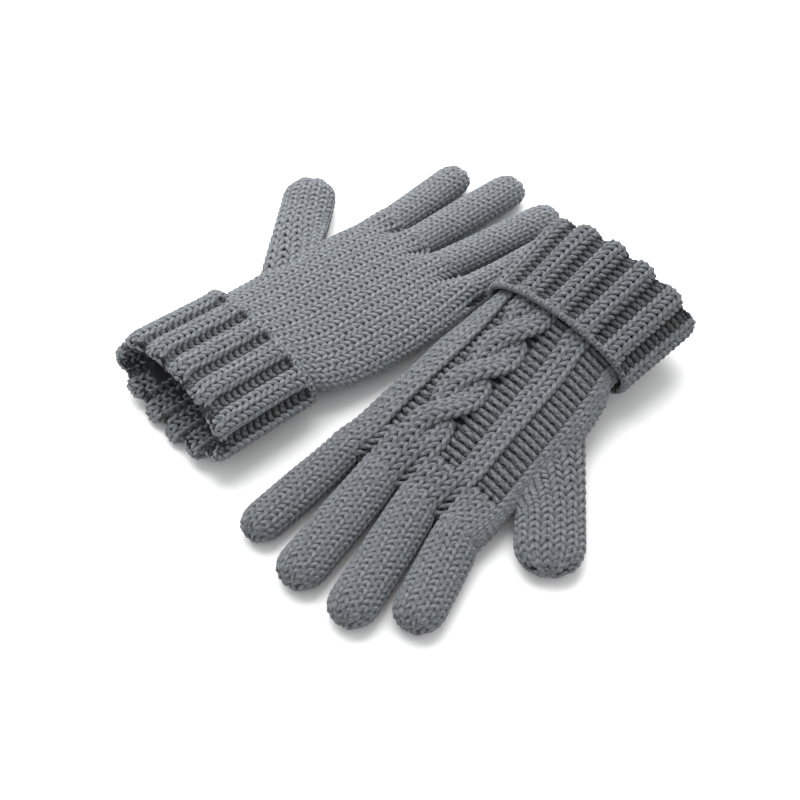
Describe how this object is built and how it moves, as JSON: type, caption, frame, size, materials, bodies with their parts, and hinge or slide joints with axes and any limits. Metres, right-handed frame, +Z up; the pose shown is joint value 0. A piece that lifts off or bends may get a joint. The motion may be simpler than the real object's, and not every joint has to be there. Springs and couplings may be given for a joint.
{
  "type": "pair of knitted five-finger gloves",
  "caption": "Pair of chunky knitted gloves with turned-back ribbed cuffs and a cabled back, one lying palm up and the other palm down beside it.",
  "frame": {"origin": "middle of the pair's footprint, on the surface it lies on", "axes": "+Z up; +Y across the pair, towards the left glove's thumb; +X along the gloves, towards the left glove's fingers"},
  "size_m": [0.2682, 0.2809, 0.0459],
  "materials": {
    "rib_knit": "matte grey melange yarn, rib stitch",
    "plain_knit": "matte grey melange yarn, plain stitch",
    "cable_knit": "matte grey melange yarn, cable and plain stitch"
  },
  "bodies": {
    "left_hand": {"left_cuff": "rib_knit", "left_wrist_rib": "rib_knit", "left_palm": "plain_knit", "left_back": "cable_knit"},
    "left_thumb": {"left_thumb": "plain_knit"},
    "left_index": {"left_index_finger": "plain_knit"},
    "left_middle": {"left_middle_finger": "plain_knit"},
    "left_ring": {"left_ring_finger": "plain_knit"},
    "left_little": {"left_little_finger": "plain_knit"},
    "right_hand": {"right_cuff": "rib_knit", "right_wrist_rib": "rib_knit", "right_palm": "plain_knit", "right_back": "cable_knit"},
    "right_thumb": {"right_thumb": "plain_knit"},
    "right_index": {"right_index_finger": "plain_knit"},
    "right_middle": {"right_middle_finger": "plain_knit"},
    "right_ring": {"right_ring_finger": "plain_knit"},
    "right_little": {"right_little_finger": "plain_knit"}
  },
  "joints": [
    {"name": "right_glove_lift", "type": "slide", "parent": "left_hand", "child": "right_hand", "axis": [0, 0, 1], "range_m": [0, 0.12]},
    {"name": "left_thumb_close", "type": "hinge", "parent": "left_hand", "child": "left_thumb", "pos_m": [0.02399, 0.09518, 0.01], "axis": [0, 0, -1], "range_deg": [0, 20]},
    {"name": "left_index_bend", "type": "hinge", "parent": "left_hand", "child": "left_index", "pos_m": [0.06026, 0.08171, 0.0178], "axis": [0.0454, -0.999, 0], "range_deg": [0, 80]},
    {"name": "left_middle_bend", "type": "hinge", "parent": "left_hand", "child": "left_middle", "pos_m": [0.05905, 0.06134, 0.0178], "axis": [-0.068, -0.9977, 0], "range_deg": [0, 80]},
    {"name": "left_ring_bend", "type": "hinge", "parent": "left_hand", "child": "left_ring", "pos_m": [0.05771, 0.03878, 0.0178], "axis": [-0.1719, -0.9851, 0], "range_deg": [0, 80]},
    {"name": "left_little_bend", "type": "hinge", "parent": "left_hand", "child": "left_little", "pos_m": [0.0564, 0.01682, 0.0178], "axis": [-0.1115, -0.9938, 0], "range_deg": [0, 80]},
    {"name": "right_thumb_close", "type": "hinge", "parent": "right_hand", "child": "right_thumb", "pos_m": [-0.03451, -0.10067, 0.01], "axis": [0, 0, -1], "range_deg": [0, 20]},
    {"name": "right_index_bend", "type": "hinge", "parent": "right_hand", "child": "right_index", "pos_m": [-0.05845, -0.08877, 0.0178], "axis": [-0.3778, 0.9259, 0], "range_deg": [0, 80]},
    {"name": "right_middle_bend", "type": "hinge", "parent": "right_hand", "child": "right_middle", "pos_m": [-0.05997, -0.06322, 0.0178], "axis": [-0.3239, 0.9461, 0], "range_deg": [0, 80]},
    {"name": "right_ring_bend", "type": "hinge", "parent": "right_hand", "child": "right_ring", "pos_m": [-0.06143, -0.03866, 0.0178], "axis": [-0.2233, 0.9748, 0], "range_deg": [0, 80]},
    {"name": "right_little_bend", "type": "hinge", "parent": "right_hand", "child": "right_little", "pos_m": [-0.06276, -0.0163, 0.0178], "axis": [-0.0854, 0.9963, 0], "range_deg": [0, 80]}
  ]
}
